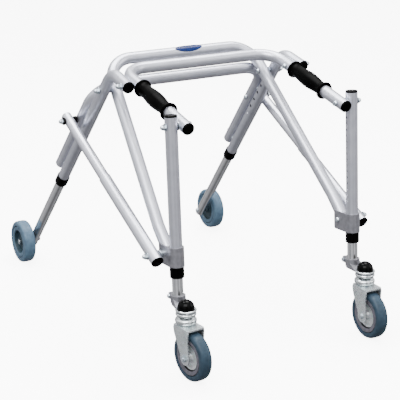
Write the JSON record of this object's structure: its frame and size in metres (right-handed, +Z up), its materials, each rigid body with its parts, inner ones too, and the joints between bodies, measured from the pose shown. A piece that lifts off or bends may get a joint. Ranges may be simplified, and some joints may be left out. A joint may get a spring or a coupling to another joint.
{
  "type": "wheeled walker",
  "caption": "Folding aluminium posture walker on swivel casters and fixed rear wheels, with moulded grips, telescoping legs and side struts.",
  "frame": {"origin": "on the floor at the middle of the outline", "axes": "+X to the right-hand side, +Y to the rear with the fixed wheels, +Z up"},
  "size_m": [0.552, 0.8656, 0.5654],
  "materials": {
    "frame_tube": "satin anodised",
    "slide_tube": "satin anodised",
    "black_plastic": "moulded",
    "grip_foam": "soft moulded foam",
    "badge_blue": "printed oval",
    "zinc": "zinc plated",
    "chrome": "bright plated",
    "cast_grey": "light grey casting",
    "tyre": "blue grey rubber",
    "hub": "light grey moulded"
  },
  "bodies": {
    "rear_frame": {"rear_leg_right": "frame_tube", "rear_leg_left": "frame_tube", "rear_u_tube": "frame_tube", "rear_trim": "black_plastic", "rear_bolts": "zinc", "u_tube_joints": "zinc"},
    "brace_frame": {"brace_tube": "frame_tube", "badge": "badge_blue"},
    "handle_frame": {"handle_tube": "frame_tube", "grip_right": "grip_foam", "grip_left": "grip_foam", "handle_trim": "black_plastic"},
    "post_right": {"front_post_right": "frame_tube", "post_trim_right": "black_plastic", "bracket_right": "cast_grey", "post_bolts_right": "zinc"},
    "front_slide_right": {"front_inner_tube_right": "slide_tube", "stem_clamp_right": "cast_grey", "clamp_screw_right": "zinc", "stem_cap_right": "black_plastic", "upper_race_right": "chrome"},
    "caster_right": {"caster_fork_right": "zinc", "lower_race_right": "chrome", "front_axle_right": "zinc"},
    "front_wheel_right": {"front_tyre_right": "tyre", "front_hub_right": "hub"},
    "rear_slide_right": {"rear_inner_tube_right": "slide_tube", "rear_axle_right": "zinc"},
    "rear_wheel_right": {"rear_tyre_right": "tyre", "rear_hub_right": "hub"},
    "strut_tube_right": {"strut_outer_right": "frame_tube", "strut_plug_right": "black_plastic"},
    "button_right": {"strut_button_right": "zinc"},
    "strut_rod_right": {"strut_rod_right": "slide_tube", "strut_bush_right": "black_plastic", "strut_nut_right": "zinc"},
    "post_left": {"front_post_left": "frame_tube", "post_trim_left": "black_plastic", "bracket_left": "cast_grey", "post_bolts_left": "zinc"},
    "front_slide_left": {"front_inner_tube_left": "slide_tube", "stem_clamp_left": "cast_grey", "clamp_screw_left": "zinc", "stem_cap_left": "black_plastic", "upper_race_left": "chrome"},
    "caster_left": {"caster_fork_left": "zinc", "lower_race_left": "chrome", "front_axle_left": "zinc"},
    "front_wheel_left": {"front_tyre_left": "tyre", "front_hub_left": "hub"},
    "rear_slide_left": {"rear_inner_tube_left": "slide_tube", "rear_axle_left": "zinc"},
    "rear_wheel_left": {"rear_tyre_left": "tyre", "rear_hub_left": "hub"},
    "strut_tube_left": {"strut_outer_left": "frame_tube", "strut_plug_left": "black_plastic"},
    "button_left": {"strut_button_left": "zinc"},
    "strut_rod_left": {"strut_rod_left": "slide_tube", "strut_bush_left": "black_plastic", "strut_nut_left": "zinc"}
  },
  "joints": [
    {"name": "fold", "type": "hinge", "parent": "rear_frame", "child": "handle_frame", "pos_m": [0, -0.095, 0.5346], "axis": [1, 0, 0], "range_deg": [0, 40]},
    {"name": "brace_hinge", "type": "hinge", "parent": "rear_frame", "child": "brace_frame", "pos_m": [0, 0.0115, 0.502], "axis": [1, 0, 0], "range_deg": [0, 26.3]},
    {"name": "post_hinge_right", "type": "hinge", "parent": "handle_frame", "child": "post_right", "pos_m": [0.2113, -0.2898, 0.49564], "axis": [1, 0, 0], "range_deg": [-22.5, 0]},
    {"name": "strut_hinge_right", "type": "hinge", "parent": "post_right", "child": "strut_tube_right", "pos_m": [0.247, -0.28, 0.235], "axis": [1, 0, 0], "range_deg": [0, 6.2]},
    {"name": "strut_slide_right", "type": "slide", "parent": "strut_tube_right", "child": "strut_rod_right", "axis": [0, 0.911, 0.4124], "range_m": [-0.0602, 0]},
    {"name": "strut_button_right", "type": "slide", "parent": "strut_tube_right", "child": "button_right", "axis": [0, 0.4124, -0.911], "range_m": [0, 0.002], "stiffness_N_per_m": 400},
    {"name": "front_height_right", "type": "slide", "parent": "post_right", "child": "front_slide_right", "axis": [0, -0.0823, -0.9966], "range_m": [-0.012, 0.0762]},
    {"name": "swivel_right", "type": "hinge", "parent": "front_slide_right", "child": "caster_right", "pos_m": [0.2155, -0.3584, 0.12], "axis": [0, 0, 1], "continuous": true},
    {"name": "front_spin_right", "type": "hinge", "parent": "caster_right", "child": "front_wheel_right", "pos_m": [0.2155, -0.382, 0.0508], "axis": [1, 0, 0], "continuous": true},
    {"name": "rear_height_right", "type": "slide", "parent": "rear_frame", "child": "rear_slide_right", "axis": [0.0395, 0.6341, -0.7722], "range_m": [-0.0762, 0.0762]},
    {"name": "rear_spin_right", "type": "hinge", "parent": "rear_slide_right", "child": "rear_wheel_right", "pos_m": [0.262, 0.382, 0.0508], "axis": [1, 0, 0], "continuous": true},
    {"name": "post_hinge_left", "type": "hinge", "parent": "handle_frame", "child": "post_left", "pos_m": [-0.2113, -0.2898, 0.49564], "axis": [1, 0, 0], "range_deg": [-22.5, 0]},
    {"name": "strut_hinge_left", "type": "hinge", "parent": "post_left", "child": "strut_tube_left", "pos_m": [-0.247, -0.28, 0.235], "axis": [1, 0, 0], "range_deg": [0, 6.2]},
    {"name": "strut_slide_left", "type": "slide", "parent": "strut_tube_left", "child": "strut_rod_left", "axis": [0, 0.911, 0.4124], "range_m": [-0.0602, 0]},
    {"name": "strut_button_left", "type": "slide", "parent": "strut_tube_left", "child": "button_left", "axis": [0, 0.4124, -0.911], "range_m": [0, 0.002], "stiffness_N_per_m": 400},
    {"name": "front_height_left", "type": "slide", "parent": "post_left", "child": "front_slide_left", "axis": [0, -0.0823, -0.9966], "range_m": [-0.012, 0.0762]},
    {"name": "swivel_left", "type": "hinge", "parent": "front_slide_left", "child": "caster_left", "pos_m": [-0.2155, -0.3584, 0.12], "axis": [0, 0, 1], "continuous": true},
    {"name": "front_spin_left", "type": "hinge", "parent": "caster_left", "child": "front_wheel_left", "pos_m": [-0.21262, -0.38182, 0.0508], "axis": [0.9925, 0.1219, 0], "continuous": true},
    {"name": "rear_height_left", "type": "slide", "parent": "rear_frame", "child": "rear_slide_left", "axis": [-0.0395, 0.6341, -0.7722], "range_m": [-0.0762, 0.0762]},
    {"name": "rear_spin_left", "type": "hinge", "parent": "rear_slide_left", "child": "rear_wheel_left", "pos_m": [-0.262, 0.382, 0.0508], "axis": [1, 0, 0], "continuous": true}
  ],
  "couplings": [
    {"joint": "brace_hinge", "follows": "fold", "ratio": 0.6521},
    {"joint": "post_hinge_right", "follows": "fold", "ratio": -0.5552},
    {"joint": "strut_hinge_right", "follows": "fold", "ratio": 0.1475},
    {"joint": "strut_slide_right", "follows": "fold", "m_per_rad": -0.0852},
    {"joint": "post_hinge_left", "follows": "fold", "ratio": -0.5552},
    {"joint": "strut_hinge_left", "follows": "fold", "ratio": 0.1475},
    {"joint": "strut_slide_left", "follows": "fold", "m_per_rad": -0.0852}
  ]
}
